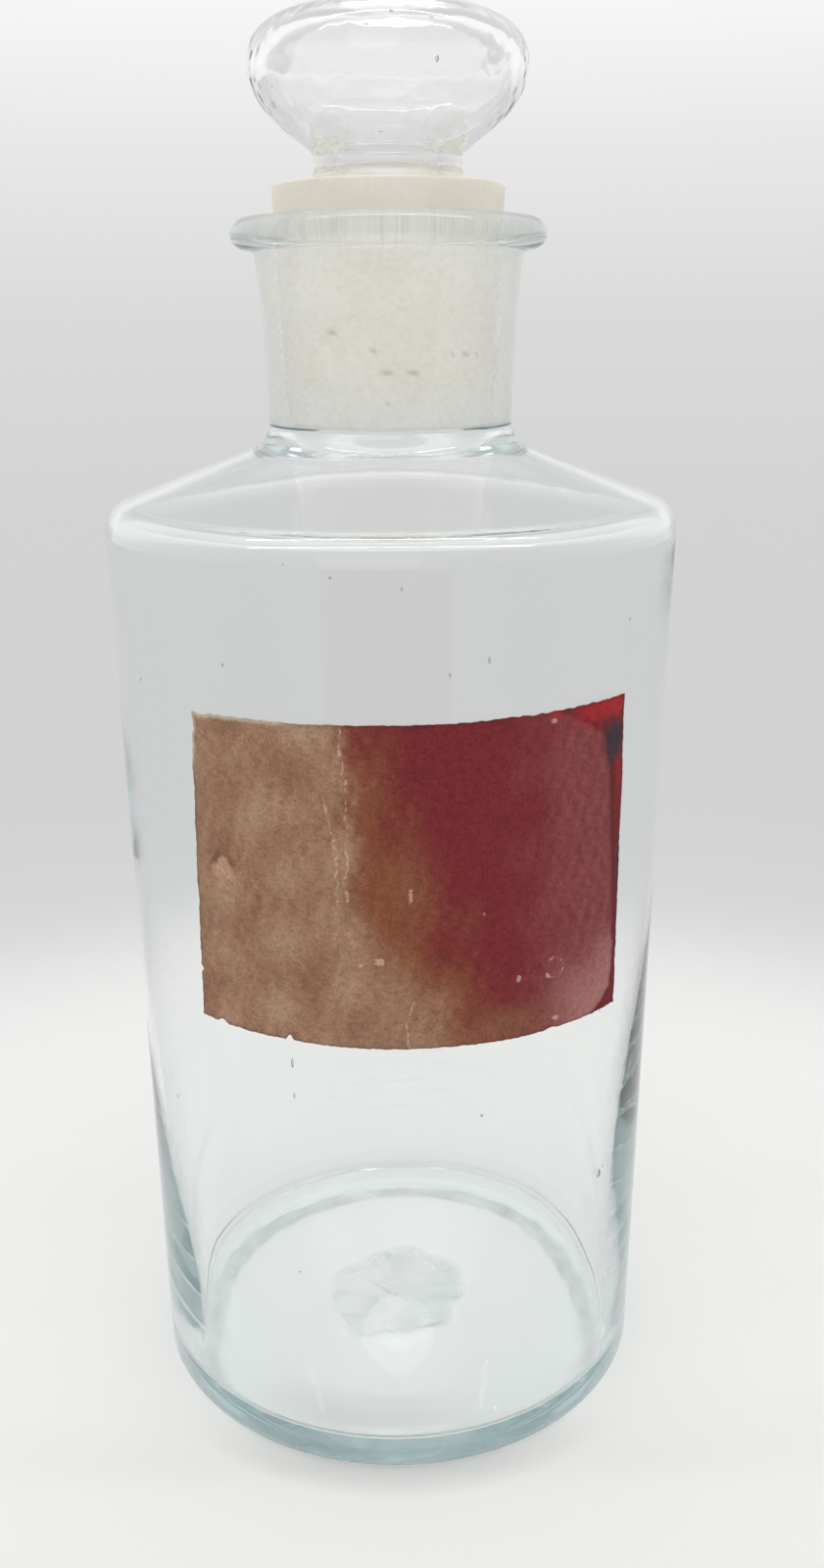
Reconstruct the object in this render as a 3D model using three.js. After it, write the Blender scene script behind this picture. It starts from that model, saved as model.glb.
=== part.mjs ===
// Apothecary bottle with a ground glass stopper and a pasted paper label.
// Clear glass bottle blown in a mould that widens upward, so its side wall tapers to the base.
// Millimetres, +Z up. The origin is the centre of the base, on the surface it stands on.
// -Y is the front, where the label is.

import * as THREE from 'three';

// Body
const shoulderRadius = 50;       // outer radius at the top of the side wall
const baseRadius = 47.55;        // outer radius just above the heel
const wallTop = 164.3;           // height where the side wall meets the shoulder's curve
const heelRadius = 1.8;          // rounding between the side wall and the base
const wallThickness = 1.9;       // blown wall of the side, above the swell
const shoulderThickness = 2.2;   // blown wall of the shoulder
const footThickness = 4;         // wall where it meets the base
const swellTop = 85;             // the wall grows thicker below this height
const swellBottom = 8;           // and has its full thickness at this one
const shoulderCorner = 5.5;      // outer rounding from the side wall into the shoulder
const innerCorner = 4;           // the same rounding inside
const shoulderSlope = 20;        // degrees above level

// Base
const restingRingWidth = 8;      // flat ring that the bottle stands on
const pushUp = 2.6;              // how far the underside is pushed up at its centre
const floorThickness = 4.2;      // glass at the lowest ring of the inside
const floorDome = 2.4;           // how far the inside rises at its centre
const innerHeel = 4.8;           // inside rounding between the wall and the floor
const pontilRadius = 13.9;       // scar left by the iron rod that held the hot bottle
const pontilRelief = 0.7;        // how far the scar stands out of the underside

// Neck and lip
const neckWall = 3.95;           // glass round the throat, at the foot of the neck
const neckLength = 27.7;         // from the foot of the neck to the underside of the lip
const neckFillet = 5;            // outer rounding from the shoulder into the neck
const throatFillet = 5;          // the same rounding inside
const neckTaper = 0.55;          // steady widening towards the lip
const neckFlare = 1;             // extra widening just under the lip
const lipOverhang = 4;           // how far the lip ring stands out of the neck
const lipThickness = 5.2;        // height of the lip ring, which is rounded outside
const lipFillet = 0.9;           // between the neck and the underside of the lip
const mouthBevel = 0.9;          // at the edge of the mouth

// Ground joint, a cone that the plug and the bore share
const mouthRadius = 19.35;       // bore radius at the top of the ground cone
const jointTaper = 1 / 10;       // change of diameter for each unit of length
const throatInset = 2.25;        // how much narrower the throat is than the mouth
const throatLand = 0.6;          // unground stretch between the throat's curve and the cone
const seatClearance = 0.2;       // between the plug and the bore, square to the axis
const plugStandOff = 6;          // how far the plug's top stands above the cone's top
const plugShort = 6.2;           // how far the plug stops above the end of the ground cone

// Stopper
const plugChamfer = 0.6;         // at both ends of the plug
const plugCrown = 0.7;           // rise of the plug's top from its edge to the stem
const stemRadius = 12.3;         // waist of the stem
const stemFlare = 2.2;           // how much wider the stem's foot is than its waist
const stemHeight = 4.1;          // from the plug's top edge to the waist
const knobRadius = 22.9;         // widest ring of the knob
const knobRise = 13.8;           // from the waist up to the widest ring
const knobCap = 9.3;             // from the widest ring up to the top
const knobWall = 2.6;            // blown wall at the widest ring
const knobCrown = 2.5;           // glass over the hollow, at the top
const hollowRadius = 8.5;        // the hollow where it runs down through the stem and the plug

// Label
const labelWidth = 78;           // along the wall, halfway up
const labelSpread = 2.3;         // how much wider the lower edge is than the upper one
const labelHeight = 55;
const labelBottom = 86.2;        // height of its lower edge
const labelTurn = 4.4;           // degrees from the front towards +X
const paperThickness = 0.3;      // paper and its varnish
const pasteGap = 0.2;            // between the paper and the glass

const turnSteps = 60;            // facets round each turned piece

const radians = (degrees) => (degrees * Math.PI) / 180;
const at = (radius, height) => new THREE.Vector2(radius, height);

// Points of an arc in the plane of the profile. Angle 0 points away from the axis, 90 points up.
function arc(centreRadius, centreHeight, radius, from, to, steps) {
  return Array.from({ length: steps + 1 }, (_, i) => {
    const angle = radians(from + ((to - from) * i) / steps);
    return at(centreRadius + radius * Math.cos(angle), centreHeight + radius * Math.sin(angle));
  });
}

// Points of a cubic curve without its first point, which the profile already has.
function sweep(start, pullOut, pullIn, end, steps) {
  const curve = new THREE.CubicBezierCurve(start, pullOut, pullIn, end);
  return curve.getPoints(steps).slice(1);
}

// A closed solid turned from a profile that starts and ends on the axis.
function turned(profile) {
  const geometry = new THREE.LatheGeometry(profile, turnSteps);
  geometry.rotateX(Math.PI / 2);
  return geometry;
}

function glass(colour, roughness) {
  return new THREE.MeshStandardMaterial({
    color: colour,
    roughness,
    metalness: 0,
    transparent: true,
    opacity: 0.35,
  });
}

const paper = new THREE.MeshStandardMaterial({ color: 0x7b4038, roughness: 0.85, metalness: 0 });

// Outer radius of the tapered side wall at a height.
const wallRise = (shoulderRadius - baseRadius) / (wallTop - heelRadius);
const wallRadius = (height) => baseRadius + wallRise * (height - heelRadius);

// Inside, the wall swells towards the base by a smooth step of the height.
function innerWallRadius(height) {
  const swell = 1 - THREE.MathUtils.smoothstep(height, swellBottom, swellTop);
  return wallRadius(height) - wallThickness - (footThickness - wallThickness) * swell;
}

// The shoulder's outer line starts at the end of the corner that rounds it into the side wall.
const slope = radians(shoulderSlope);
const uphill = 90 - shoulderSlope;
const corner = arc(shoulderRadius - shoulderCorner, wallTop, shoulderCorner, 0, uphill, 5);
const cornerEnd = corner[corner.length - 1];
const shoulderHeight = (radius) => cornerEnd.y + (cornerEnd.x - radius) * Math.tan(slope);
const innerShoulderHeight = (radius) => shoulderHeight(radius) - shoulderThickness / Math.cos(slope);

// How far above the shoulder's line a fillet ends that turns it upright.
const filletRise = (fillet) => fillet * Math.tan(radians(uphill) / 2);

// The neck, from its foot on the shoulder up to the lip.
const throatRadius = mouthRadius - throatInset;
const neckRadius = throatRadius + neckWall;
const neckFoot = shoulderHeight(neckRadius) + filletRise(neckFillet);
const throatFoot = innerShoulderHeight(throatRadius) + filletRise(throatFillet);
const lipBottom = neckFoot + neckLength;
const mouthHeight = lipBottom + lipThickness;

// Radius of the ground cone at a height, shared by the bore and the plug.
const coneTop = mouthHeight - mouthBevel;
const coneEnd = throatFoot + throatLand;
const coneRadius = (height) => mouthRadius + (jointTaper / 2) * (height - coneTop);

// The underside rises to its centre as a shallow dome inside the resting ring.
const ringOuter = baseRadius - heelRadius;
const ringInner = ringOuter - restingRingWidth;
const underside = (radius) => pushUp * (1 - (radius / ringInner) ** 2);

function undersidePoints() {
  const domeShares = [0.2, 0.4, 0.7, 1];
  const scarEdge = at(pontilRadius, underside(pontilRadius));
  return [
    at(0, underside(0) - pontilRelief),
    at(pontilRadius * 0.6, underside(pontilRadius * 0.6) - pontilRelief),
    at(pontilRadius - pontilRelief, underside(pontilRadius) - pontilRelief),
    scarEdge,
    ...domeShares.map((share) => {
      const radius = pontilRadius + (ringInner - pontilRadius) * share;
      return at(radius, underside(radius));
    }),
  ];
}

// The neck widens steadily, and a little more just under the lip.
function neckPoints() {
  const rise = neckLength - lipFillet;
  return Array.from({ length: 6 }, (_, i) => {
    const t = i / 5;
    return at(neckRadius + neckTaper * t + neckFlare * t ** 3, neckFoot + rise * t);
  });
}

// The lip ring's section is half an ellipse outside, and flat on its top and underside.
function lipPoints() {
  const root = neckRadius + neckTaper + neckFlare + lipFillet;
  const reach = lipOverhang - lipFillet;
  const unit = arc(0, 0, 1, -90, 90, 8);
  return unit.map((p) => at(root + reach * p.x, lipBottom + (lipThickness / 2) * (1 + p.y)));
}

function outerPoints() {
  const filletCentre = neckRadius + neckFillet;
  return [
    ...arc(ringOuter, heelRadius, heelRadius, -90, 0, 4),
    ...corner,
    ...arc(filletCentre, neckFoot, neckFillet, 270 - shoulderSlope, 180, 5).slice(0, -1),
    ...neckPoints(),
    ...lipPoints(),
    at(mouthRadius + mouthBevel, mouthHeight),
  ];
}

// The inside follows the outside at the wall's thickness, down to a rounded heel and a domed floor.
// The swell's points start at its top, and the last of them is the start of the heel's arc.
function innerPoints() {
  const cornerRadius = shoulderRadius - wallThickness - innerCorner;
  const cornerHeight = innerShoulderHeight(cornerRadius) - innerCorner / Math.cos(slope);
  const heelHeight = floorThickness + innerHeel;
  const floorEdge = innerWallRadius(heelHeight) - innerHeel;
  const swellHeights = Array.from({ length: 8 }, (_, i) => swellTop + ((heelHeight - swellTop) * i) / 8);
  const floorShares = [0.8, 0.55, 0.28, 0];
  return [
    at(mouthRadius, coneTop),
    at(coneRadius(coneEnd), coneEnd),
    ...arc(throatRadius + throatFillet, throatFoot, throatFillet, 180, 270 - shoulderSlope, 5),
    ...arc(cornerRadius, cornerHeight, innerCorner, uphill, 0, 4),
    ...swellHeights.map((height) => at(innerWallRadius(height), height)),
    ...arc(floorEdge, heelHeight, innerHeel, 0, -90, 6),
    ...floorShares.map((share) => at(floorEdge * share, floorThickness + floorDome * (1 - share ** 2))),
  ];
}

function makeBottle() {
  const profile = [...undersidePoints(), ...outerPoints(), ...innerPoints()];
  const mesh = new THREE.Mesh(turned(profile), glass(0xdbe4e4, 0.05));
  mesh.name = 'bottle';
  return mesh;
}

// The stopper is one piece of blown glass: a hollow knob on a short stem, over a ground plug.
// The hollow runs down through the stem and the plug and is open at the plug's end, where it was blown from.
function makeStopper() {
  const plugTop = coneTop + plugStandOff;
  const plugEnd = coneEnd + plugShort;
  const plugRadius = (height) => coneRadius(height) - seatClearance;
  const foot = at(stemRadius + stemFlare, plugTop + plugCrown);
  const waist = at(stemRadius, plugTop + stemHeight);
  const widest = at(knobRadius, waist.y + knobRise);
  const top = at(0, widest.y + knobCap);
  const roof = at(0, top.y - knobCrown);
  const side = at(knobRadius - knobWall, widest.y);
  const throat = at(hollowRadius, waist.y);
  const profile = [
    roof,
    ...sweep(roof, at(side.x * 0.83, roof.y), at(side.x, side.y + knobCap * 0.4), side, 8),
    ...sweep(side, at(side.x, side.y - knobRise * 0.56), at(throat.x, throat.y + knobRise * 0.2), throat, 9),
    at(hollowRadius, plugEnd),
    at(plugRadius(plugEnd) - plugChamfer, plugEnd),
    at(plugRadius(plugEnd), plugEnd + plugChamfer),
    at(plugRadius(plugTop), plugTop - plugChamfer),
    at(plugRadius(plugTop) - plugChamfer, plugTop),
    foot,
    ...sweep(foot, at(waist.x, foot.y), at(waist.x, waist.y - stemHeight / 4), waist, 5),
    ...sweep(
      waist,
      at(waist.x, waist.y + knobRise * 0.15),
      at(widest.x, widest.y - knobRise * 0.56),
      widest,
      9,
    ),
    ...sweep(widest, at(widest.x, widest.y + knobCap * 0.57), at(widest.x * 0.83, top.y), top, 8),
  ];
  const mesh = new THREE.Mesh(turned(profile), glass(0xe2e6e4, 0.08));
  mesh.name = 'stopper';
  return mesh;
}

// The label is a strip of paper bent round the tapered wall, a constant gap away from the glass.
function makeLabel() {
  const front = -Math.PI / 2 + radians(labelTurn);
  const strip = new THREE.Shape();
  strip.absarc(0, 0, pasteGap + paperThickness, -1, 1, false);
  strip.absarc(0, 0, pasteGap, 1, -1, true);
  strip.closePath();
  const geometry = new THREE.ExtrudeGeometry(strip, {
    depth: labelHeight,
    bevelEnabled: false,
    curveSegments: 14,
    steps: 4,
  });

  // The strip starts as a sector two radians wide, with its distance from the glass as its radius.
  const place = geometry.attributes.position;
  for (let i = 0; i < place.count; i += 1) {
    const distance = Math.hypot(place.getX(i), place.getY(i));
    const sideways = Math.atan2(place.getY(i), place.getX(i));
    const height = labelBottom + place.getZ(i);
    const radius = wallRadius(height) + distance;
    const width = labelWidth + labelSpread * (0.5 - place.getZ(i) / labelHeight);
    const angle = front + (sideways * width) / 2 / radius;
    place.setXYZ(i, radius * Math.cos(angle), radius * Math.sin(angle), height);
  }
  geometry.computeVertexNormals();
  const mesh = new THREE.Mesh(geometry, paper);
  mesh.name = 'label';
  return mesh;
}

const group = new THREE.Group();
group.name = 'apothecary_bottle';
group.add(makeBottle(), makeStopper(), makeLabel());

export default group;
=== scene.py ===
"""Apothecary bottle: blown clear glass, a ground glass stopper and an aged paper label."""

import math
from functools import partial

import bpy
import numpy as np
from mathutils import Matrix, Vector


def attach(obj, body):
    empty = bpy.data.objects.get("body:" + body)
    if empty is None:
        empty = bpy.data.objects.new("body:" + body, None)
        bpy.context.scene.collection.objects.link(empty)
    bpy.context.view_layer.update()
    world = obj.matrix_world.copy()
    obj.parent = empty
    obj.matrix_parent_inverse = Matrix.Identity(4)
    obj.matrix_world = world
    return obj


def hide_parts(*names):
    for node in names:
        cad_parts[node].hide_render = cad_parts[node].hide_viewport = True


bl_info = {
    "name": "Apothecary Bottle",
    "version": (1, 0, 0),
    "blender": (4, 5, 0),
    "location": "View3D > Sidebar > Bottle",
    "description": "Blown glass pharmacy bottle with a ground stopper and an aged paper label",
    "category": "Add Mesh",
}

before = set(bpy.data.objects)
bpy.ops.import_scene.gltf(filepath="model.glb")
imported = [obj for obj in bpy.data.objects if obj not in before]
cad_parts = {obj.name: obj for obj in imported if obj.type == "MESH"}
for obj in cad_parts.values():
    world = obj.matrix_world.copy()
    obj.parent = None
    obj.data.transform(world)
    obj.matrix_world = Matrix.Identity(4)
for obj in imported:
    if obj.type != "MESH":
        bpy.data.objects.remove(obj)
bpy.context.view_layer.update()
MM = 0.001


# Sizes and colours a user would change


def size(name, description, millimetres):
    """A length property whose default is given in millimetres."""
    return bpy.props.FloatProperty(
        name=name, description=description, default=millimetres * MM, unit="LENGTH", precision=5
    )


def angle_size(name, description, degrees):
    """An angle property whose default is given in degrees."""
    return bpy.props.FloatProperty(
        name=name, description=description, default=math.radians(degrees), subtype="ANGLE"
    )


def colour(name, description, code):
    """A colour property whose default is an sRGB hex value."""
    return bpy.props.FloatVectorProperty(
        name=name, description=description, default=linear(code)[:3], subtype="COLOR", size=3
    )


def linear(code):
    """Linear RGBA of an sRGB hex value: each channel by the sRGB transfer curve."""
    channels = [int(code[i : i + 2], 16) / 255 for i in (1, 3, 5)]
    curve = [c / 12.92 if c <= 0.04045 else ((c + 0.055) / 1.055) ** 2.4 for c in channels]
    return (*curve, 1.0)


def grey(level):
    """Linear RGBA of a neutral sRGB level from 0 to 255."""
    return linear("#" + 3 * f"{level:02x}")


class BottleSizes(bpy.types.PropertyGroup):
    """Sizes of the blown bottle."""

    shoulder_radius: size("Shoulder radius", "Outer radius at the top of the side wall", 50)
    base_radius: size("Base radius", "Outer radius just above the heel", 47.55)
    wall_top: size("Wall top", "Height where the side wall meets the shoulder's curve", 164.3)
    heel: size("Heel", "Rounding between the side wall and the base", 1.8)
    wall: size("Wall", "Thickness of the blown wall, shoulder to swell", 1.9)
    shoulder_wall: size("Shoulder wall", "Thickness of the shoulder", 2.2)
    foot_wall: size("Foot wall", "Thickness of the wall at its foot", 4)
    swell_top: size("Swell top", "Height under which the wall grows thicker", 85)
    swell_bottom: size("Swell bottom", "Height at which it has its full thickness", 8)
    corner: size("Shoulder corner", "Outer rounding from the side wall into the shoulder", 5.5)
    inner_corner: size("Inner corner", "Inside rounding under the shoulder", 4)
    slope: angle_size("Shoulder slope", "Rise of the shoulder above level", 20)
    ring: size("Resting ring", "Width of the flat ring the bottle stands on", 8)
    push_up: size("Push-up", "How far the underside rises at its centre", 2.6)
    floor: size("Floor", "Glass at the lowest ring of the inside", 4.2)
    floor_dome: size("Floor dome", "How far the inside rises at its centre", 2.4)
    inner_heel: size("Inner heel", "Inside rounding between the wall and the floor", 2)
    scar: size("Pontil scar", "Radius of the scar under the base", 13.9)
    scar_relief: size("Scar relief", "How far the scar stands out of the underside", 0.7)
    neck_wall: size("Neck wall", "Glass round the throat at the foot of the neck", 3.95)
    neck_length: size("Neck length", "From the foot of the neck to the underside of the lip", 27.7)
    fillet: size("Neck fillet", "Rounding between the shoulder and the neck", 5)
    neck_taper: size("Neck taper", "Steady widening of the neck", 0.55)
    neck_flare: size("Neck flare", "Extra widening just under the lip", 1)
    lip_reach: size("Lip overhang", "How far the lip ring stands out of the neck", 4)
    lip_height: size("Lip height", "Height of the lip ring", 5.2)
    lip_fillet: size("Lip fillet", "Between the neck and the underside of the lip", 0.9)
    mouth_bevel: size("Mouth bevel", "Rounding at the edge of the mouth", 0.9)
    mouth: size("Mouth", "Bore radius at the top of the ground cone", 19.35)
    throat_inset: size("Throat inset", "How much narrower the throat is than the mouth", 2.25)
    throat_land: size("Throat land", "Unground stretch below the cone", 0.6)
    ripple: size("Ripple", "Unevenness of the blown inside", 0.16)


class StopperSizes(bpy.types.PropertyGroup):
    """Sizes of the stopper."""

    clearance: size("Clearance", "Between the plug and the bore", 0.2)
    stand_off: size("Stand-off", "How far the plug's top stands above the cone's top", 6)
    short: size("Plug short", "How far the plug stops above the end of the cone", 6.2)
    chamfer: size("Chamfer", "At both ends of the plug", 0.6)
    crown: size("Crown", "Rise of the plug's top from its edge to the stem", 0.7)
    stem: size("Stem", "Radius of the stem's waist", 12.3)
    stem_flare: size("Stem flare", "How much wider the stem's foot is than its waist", 2.2)
    stem_height: size("Stem height", "From the plug's top edge to the waist", 4.1)
    knob: size("Knob", "Radius of the knob's widest ring", 22.9)
    knob_rise: size("Knob rise", "From the waist up to the widest ring", 13.8)
    knob_cap: size("Knob cap", "From the widest ring up to the top", 9.3)
    knob_wall: size("Knob wall", "Blown wall at the widest ring", 2.6)
    knob_crown: size("Knob crown", "Glass over the hollow, at the top", 2.5)
    hollow: size("Hollow", "Radius of the hollow down through the stem and the plug", 8.5)
    unevenness: size("Unevenness", "How far the hand-finished knob departs from round", 0.35)
    wrinkle: size("Wrinkle", "Fine ripples of the knob's hollow, where the glass cooled first", 0.014)


class LabelSizes(bpy.types.PropertyGroup):
    """Sizes of the paper label."""

    width: size("Width", "Along the wall, halfway up", 78)
    spread: size("Spread", "How much wider the lower edge is than the upper one", 2.3)
    height: size("Height", "From the lower edge to the upper one", 55)
    bottom: size("Bottom", "Height of the lower edge above the base", 86.2)
    turn: angle_size("Turn", "From the front towards the right", 4.4)
    paper: size("Paper", "Thickness of the paper", 0.2)
    paste: size("Paste", "Between the paper and the glass", 0.15)


class BottleColours(bpy.types.PropertyGroup):
    """Colours of glass and paper."""

    glass: colour("Glass", "Tint that light takes crossing the glass", "#94bfc2")
    ground: colour("Ground glass", "Milky light of the ground surfaces", "#fbf9f4")
    stained: colour("Plug rim", "Ground rim of the plug above the lip, yellowed by use", "#e4ddcd")
    iron: colour("Rust mark", "Iron from the grinding grit, and residue on the floor", "#94704e")
    back: colour("Label's back", "Unprinted paper with old paste, seen through the glass", "#cfc3ad")
    tan: colour("Bare paper", "Paper where the red has gone", "#a38269")
    brown: colour("Browned paper", "Bare paper, darker with age", "#866049")
    rust: colour("Rusty paper", "Between bare and red paper", "#80492f")
    red: colour("Red paper", "Paper that kept its red", "#742529")
    mauve: colour("Faded paper", "Red paper that has paled", "#844443")
    pink: colour("Washed paper", "The palest red, in the lower right corner", "#a3716c")
    wine: colour("Right margin", "Dark red beside the pasted edge", "#6c2226")
    scarlet: colour("Bright red", "Dye gathered by water along the upper edge", "#a3232a")
    ink: colour("Dark stain", "In the upper right corner", "#35303a")
    pale: colour("Torn paper", "Fibre laid bare by a tear", "#d8b8a4")
    floor: colour("Floor", "White sheet under the bottle", "#f0f0ee")


def sizes():
    """The three groups of sizes and the colours, kept on the scene."""
    scene = bpy.context.scene
    return scene.bottle_sizes, scene.stopper_sizes, scene.label_sizes, scene.bottle_colours


# Profiles, as arrays of radius and height


def arc(centre, radius, start, stop, steps):
    """Points at centre plus radius times (cos t, sin t), with t from start to stop degrees."""
    t = np.radians(np.linspace(start, stop, steps))
    return np.column_stack([centre[0] + radius * np.cos(t), centre[1] + radius * np.sin(t)])


def run(start, stop, steps):
    """Points evenly spaced on the straight line between two points, without its ends."""
    t = np.linspace(0, 1, steps + 2)[1:-1, None]
    return np.asarray(start) * (1 - t) + np.asarray(stop) * t


def curve(a, b, c, d, steps):
    """Cubic Bezier points: a(1-t)^3 + 3bt(1-t)^2 + 3ct^2(1-t) + dt^3, without the first one."""
    t = np.linspace(0, 1, steps + 1)[1:, None]
    a, b, c, d = map(np.asarray, (a, b, c, d))
    return a * (1 - t) ** 3 + 3 * b * t * (1 - t) ** 2 + 3 * c * t**2 * (1 - t) + d * t**3


def joined(*parts):
    """Points of the parts in order.

    A whole number stands for a straight run of so many points between its two neighbours.
    """
    return np.vstack([
        run(parts[i - 1][-1], parts[i + 1][0], part) if isinstance(part, int) else part
        for i, part in enumerate(parts)
    ])


def smooth(low, high, value):
    """Smooth step: 3t^2 - 2t^3 of the value's share t between low and high, held at 0 and 1."""
    t = np.clip((value - low) / (high - low), 0, 1)
    return t * t * (3 - 2 * t)


def ripple(angle, height, pitch, lean, seed, waves=14, fall=0.35):
    """Sum of sines that is periodic round the axis, with an amplitude of about 1.

    Wave k is sin(n angle + 2 pi height / length + phase), with whole n up to lean and lengths
    from pitch to four pitches; its weight is 1 / (1 + fall n).
    """
    draw = np.random.default_rng(seed)
    total = np.zeros(np.broadcast(angle, height).shape)
    for _ in range(waves):
        n = draw.integers(0, lean + 1)
        length = pitch * 4 ** draw.random()
        way = draw.choice([-1, 1])
        phase = draw.random() * 2 * math.pi
        weight = 1 / (1 + fall * n)
        total += weight * np.sin(way * n * angle + 2 * math.pi * height / length + phase)
    return total / math.sqrt(waves / 3)


class Glasswork:
    """Radii and heights that the bottle and the stopper share, worked out from the sizes."""

    def __init__(self):
        b = bpy.context.scene.bottle_sizes
        self.draft = (b.shoulder_radius - b.base_radius) / (b.wall_top - b.heel)
        self.uphill = 90 - math.degrees(b.slope)  # where on its arc the corner meets the shoulder
        self.throat = b.mouth - b.throat_inset
        self.neck = self.throat + b.neck_wall
        corner = (b.shoulder_radius - b.corner, b.wall_top)
        self.corner_end = arc(corner, b.corner, 0, self.uphill, 2)[-1]
        self.steepness = math.tan(b.slope)
        self.drop = b.shoulder_wall / math.cos(b.slope)  # the shoulder's glass, measured upright
        rise = b.fillet * math.tan(math.radians(self.uphill) / 2)
        self.neck_foot = self.shoulder(self.neck) + rise
        self.throat_foot = self.shoulder(self.throat) - self.drop + rise
        self.lip_bottom = self.neck_foot + b.neck_length
        self.mouth_height = self.lip_bottom + b.lip_height
        self.cone_top = self.mouth_height - b.mouth_bevel
        self.cone_end = self.throat_foot + b.throat_land

    def shoulder(self, radius):
        """Height of the shoulder's outer line: a straight cone from the corner inwards."""
        return self.corner_end[1] + (self.corner_end[0] - radius) * self.steepness

    def wall(self, height):
        """Outer radius of the side wall, which widens evenly from the heel upwards."""
        b = bpy.context.scene.bottle_sizes
        return b.base_radius + self.draft * (height - b.heel)

    def inner_wall(self, height):
        """Inner radius: the outer one less the wall, which swells towards the foot.

        The swell is d d (3 - d) / 2, where d grows from 0 at its top to 1 at its bottom.
        """
        b = bpy.context.scene.bottle_sizes
        depth = np.clip((b.swell_top - height) / (b.swell_top - b.swell_bottom), 0, 1)
        swell = depth * depth * (3 - depth) / 2
        return self.wall(height) - b.wall - (b.foot_wall - b.wall) * swell

    def cone(self, height):
        """Radius of the ground cone, which loses 1 mm of diameter in 10 mm of depth."""
        return bpy.context.scene.bottle_sizes.mouth + (height - self.cone_top) / 20


# Meshes


def surface_mesh(name, vertices, faces, material, marks):
    """A smooth mesh object from arrays of points and four-cornered faces, with vertex attributes.

    A face whose last two corners are equal becomes a triangle. Marks are arrays by name.
    """
    triangle = faces[:, 2] == faces[:, 3]
    lengths = np.where(triangle, 3, 4)
    starts = np.concatenate([[0], np.cumsum(lengths)[:-1]])
    keep = np.ones(faces.shape, bool)
    keep[triangle, 3] = False
    mesh = bpy.data.meshes.new(name)
    mesh.vertices.add(len(vertices))
    mesh.vertices.foreach_set("co", vertices.astype(np.float32).ravel())
    mesh.loops.add(int(lengths.sum()))
    mesh.loops.foreach_set("vertex_index", faces[keep].astype(np.int32))
    mesh.polygons.add(len(faces))
    mesh.polygons.foreach_set("loop_start", starts.astype(np.int32))
    mesh.polygons.foreach_set("use_smooth", np.ones(len(faces), bool))
    mesh.update(calc_edges=True)
    mesh.validate()
    mesh.materials.append(material)
    for mark, values in marks.items():
        layer = mesh.attributes.new(mark, "FLOAT", "POINT")
        layer.data.foreach_set("value", values.astype(np.float32))
    piece = bpy.data.objects.new(name, mesh)
    bpy.context.collection.objects.link(piece)
    return piece


def turned(radius, height, marks):
    """A closed turned form: ring i is radius[i] (cos t, sin t) at height[i], t round the axis.

    Radius, height and the marks are arrays of rows by columns. The first and last rows are
    points on the axis, joined to their neighbours by triangles. Returns vertices, faces, marks.
    """
    rows, steps = radius.shape
    t = np.arange(steps) * 2 * math.pi / steps
    ring = np.stack([radius * np.cos(t), radius * np.sin(t), height], -1)
    vertices = np.vstack([ring[0].mean(0), ring[1:-1].reshape(-1, 3), ring[-1].mean(0)])
    j = np.arange(steps)
    k = (j + 1) % steps
    i = np.arange(rows - 3)[:, None] * steps + 1
    quads = np.stack([i + j, i + k, i + k + steps, i + j + steps], -1).reshape(-1, 4)
    end = len(vertices) - 1
    top = (rows - 3) * steps + 1
    foot = np.stack([0 * j, 1 + k, 1 + j, 1 + j], -1)
    head = np.stack([top + j, top + k, end + 0 * j, end + 0 * j], -1)
    flat = {
        mark: np.concatenate([values[0, :1], values[1:-1].ravel(), values[-1, :1]])
        for mark, values in marks.items()
    }
    return vertices, np.vstack([foot, quads, head]), flat


def add_seeds(form, seeds):
    """The form with its seeds, the gas bubbles left in the glass, each a small drawn-out ball.

    A seed is its angle in degrees, its distance from the axis, height and half sizes across and
    up in mm. The ball is mirrored so that its faces look into the gas: no glass lies inside.
    """
    vertices, faces, marks = form
    t = np.linspace(0, math.pi, 9)[:, None] * np.ones((1, 12))
    ball, skin, _ = turned(np.sin(t), -np.cos(t), {})
    for degrees, away, height, wide, tall in seeds:
        turn = math.radians(degrees)
        centre = np.array([away * math.cos(turn), away * math.sin(turn), height])
        faces = np.vstack([faces, skin + len(vertices)])
        vertices = np.vstack([vertices, (centre + ball * (-wide, wide, tall)) * MM])
    added = len(vertices) - len(next(iter(marks.values())))
    return vertices, faces, {mark: np.append(values, np.zeros(added)) for mark, values in marks.items()}


def around(profile):
    """Radius and height of a profile repeated round the axis, and the angle of each column."""
    angle = np.arange(TURN_STEPS)[None, :] * 2 * math.pi / TURN_STEPS
    ones = np.ones((1, TURN_STEPS))
    return profile[:, :1] * ones, profile[:, 1:] * ones, angle


def glass_piece(name, radius, height, marks, seeds, material):
    """A turned piece of glass with its seeds, from radius and height on a grid and its marks."""
    marks = {mark: np.broadcast_to(values, radius.shape) for mark, values in marks.items()}
    vertices, faces, marks = add_seeds(turned(radius, height, marks), seeds)
    return surface_mesh(name, vertices, faces, material, marks)


# Materials

# Vertex attributes that the materials read
GLASS_MARKS = ("ground", "worn", "stain")
PAPER_MARKS = ("crack", "flake")
FACTOR, FIRST, SECOND = 0, 6, 7  # inputs of a Mix node that mixes two colours
GLASS_IOR = 1.51
CHATTER_GREY = "#8d8c88"  # lines that the grinding iron left
WORN_GREY = "#b4b9b8"  # clear glass once it is rubbed dull


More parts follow.
